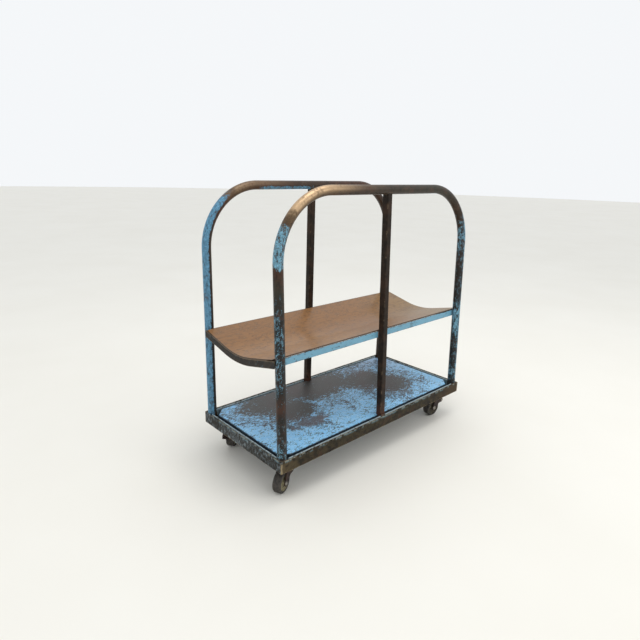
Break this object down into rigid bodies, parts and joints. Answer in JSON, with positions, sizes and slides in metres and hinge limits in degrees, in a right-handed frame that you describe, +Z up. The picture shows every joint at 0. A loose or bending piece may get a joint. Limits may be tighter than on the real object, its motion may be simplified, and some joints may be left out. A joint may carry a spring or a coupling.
{
  "type": "book cart",
  "caption": "Two-tier steel book cart with bent tube hoops along its long sides, a trough-shaped shelf over a flat deck, and swivel casters with toe brakes.",
  "frame": {"origin": "on the floor, under the centre of the base frame", "axes": "+X along the cart's long side, +Y across it to the back, +Z up"},
  "size_m": [0.79, 0.368, 0.79],
  "materials": {
    "frame_paint": "worn bronze-brown paint, rubbed edges",
    "edge_paint": "worn light blue paint",
    "deck_paint": "light blue paint, scratched through to dark steel",
    "bare_steel": "dark mill steel",
    "front_hoop_paint": "bronze-brown with light blue flecks, chipped",
    "back_hoop_paint": "light blue, chipped, brown over the top",
    "post_paint": "dark brown, worn",
    "shelf_rail_paint": "light blue, chipped edges",
    "shelf_end_paint": "dark brown, worn edge",
    "shelf_board": "brown bent board, matt and stained",
    "caster_metal": "dark plum-brown, grimy",
    "pin_steel": "dull turned steel",
    "tyre_rubber": "black rubber, dusty",
    "wheel_core": "tan moulded core, dirty"
  },
  "bodies": {
    "base": {"rail_front": "frame_paint", "rail_back": "frame_paint", "rail_left": "frame_paint", "rail_right": "frame_paint", "deck_edge_front": "edge_paint", "deck_edge_back": "edge_paint", "deck_edge_left": "edge_paint", "deck_edge_right": "edge_paint", "deck_panel": "deck_paint", "deck_bearer_left": "bare_steel", "deck_bearer_right": "bare_steel", "corner_plate_fl": "bare_steel", "corner_plate_bl": "bare_steel", "corner_plate_fr": "bare_steel", "corner_plate_br": "bare_steel", "hoop_front": "front_hoop_paint", "hoop_back": "back_hoop_paint", "mid_post_front": "post_paint", "mid_post_back": "post_paint", "shelf_rail_front": "shelf_rail_paint", "shelf_rail_back": "shelf_rail_paint", "shelf_end_left": "shelf_end_paint", "shelf_end_right": "shelf_end_paint", "shelf_panel": "shelf_board", "swivel_head_fl": "caster_metal", "swivel_head_bl": "caster_metal", "swivel_head_fr": "caster_metal", "swivel_head_br": "caster_metal", "kingpins": "pin_steel", "kingpin_nuts": "pin_steel"},
    "swivel_fl": {"fork_fl": "caster_metal", "ball_ring_fl": "pin_steel", "axle_fl": "pin_steel", "brake_pin_fl": "pin_steel"},
    "wheel_fl": {"tyre_fl": "tyre_rubber", "wheel_core_fl": "wheel_core"},
    "pedal_fl": {"brake_pedal_fl": "caster_metal"},
    "swivel_bl": {"fork_bl": "caster_metal", "ball_ring_bl": "pin_steel", "axle_bl": "pin_steel", "brake_pin_bl": "pin_steel"},
    "wheel_bl": {"tyre_bl": "tyre_rubber", "wheel_core_bl": "wheel_core"},
    "pedal_bl": {"brake_pedal_bl": "caster_metal"},
    "swivel_fr": {"fork_fr": "caster_metal", "ball_ring_fr": "pin_steel", "axle_fr": "pin_steel", "brake_pin_fr": "pin_steel"},
    "wheel_fr": {"tyre_fr": "tyre_rubber", "wheel_core_fr": "wheel_core"},
    "pedal_fr": {"brake_pedal_fr": "caster_metal"},
    "swivel_br": {"fork_br": "caster_metal", "ball_ring_br": "pin_steel", "axle_br": "pin_steel", "brake_pin_br": "pin_steel"},
    "wheel_br": {"tyre_br": "tyre_rubber", "wheel_core_br": "wheel_core"},
    "pedal_br": {"brake_pedal_br": "caster_metal"}
  },
  "joints": [
    {"name": "swivel_turn_fl", "type": "hinge", "parent": "base", "child": "swivel_fl", "pos_m": [-0.342, -0.131, 0.07], "axis": [0, 0, 1], "continuous": true},
    {"name": "wheel_spin_fl", "type": "hinge", "parent": "swivel_fl", "child": "wheel_fl", "pos_m": [-0.36027, -0.13914, 0.029], "axis": [0.4067, -0.9135, 0], "continuous": true},
    {"name": "brake_press_fl", "type": "hinge", "parent": "swivel_fl", "child": "pedal_fl", "pos_m": [-0.32556, -0.12368, 0.049], "axis": [-0.4067, 0.9135, 0], "range_deg": [0, 20]},
    {"name": "swivel_turn_bl", "type": "hinge", "parent": "base", "child": "swivel_bl", "pos_m": [-0.342, 0.131, 0.07], "axis": [0, 0, 1], "continuous": true},
    {"name": "wheel_spin_bl", "type": "hinge", "parent": "swivel_bl", "child": "wheel_bl", "pos_m": [-0.32624, 0.14331, 0.029], "axis": [-0.6157, 0.788, 0], "continuous": true},
    {"name": "brake_press_bl", "type": "hinge", "parent": "swivel_bl", "child": "pedal_bl", "pos_m": [-0.35618, 0.11992, 0.049], "axis": [0.6157, -0.788, 0], "range_deg": [0, 20]},
    {"name": "swivel_turn_fr", "type": "hinge", "parent": "base", "child": "swivel_fr", "pos_m": [0.342, -0.131, 0.07], "axis": [0, 0, 1], "continuous": true},
    {"name": "wheel_spin_fr", "type": "hinge", "parent": "swivel_fr", "child": "wheel_fr", "pos_m": [0.32201, -0.1303, 0.029], "axis": [-0.0349, -0.9994, 0], "continuous": true},
    {"name": "brake_press_fr", "type": "hinge", "parent": "swivel_fr", "child": "pedal_fr", "pos_m": [0.35999, -0.13163, 0.049], "axis": [0.0349, 0.9994, 0], "range_deg": [0, 20]},
    {"name": "swivel_turn_br", "type": "hinge", "parent": "base", "child": "swivel_br", "pos_m": [0.342, 0.131, 0.07], "axis": [0, 0, 1], "continuous": true},
    {"name": "wheel_spin_br", "type": "hinge", "parent": "swivel_br", "child": "wheel_br", "pos_m": [0.32562, 0.14247, 0.029], "axis": [-0.5736, -0.8192, 0], "continuous": true},
    {"name": "brake_press_br", "type": "hinge", "parent": "swivel_br", "child": "pedal_br", "pos_m": [0.35674, 0.12068, 0.049], "axis": [0.5736, 0.8192, 0], "range_deg": [0, 20]}
  ]
}
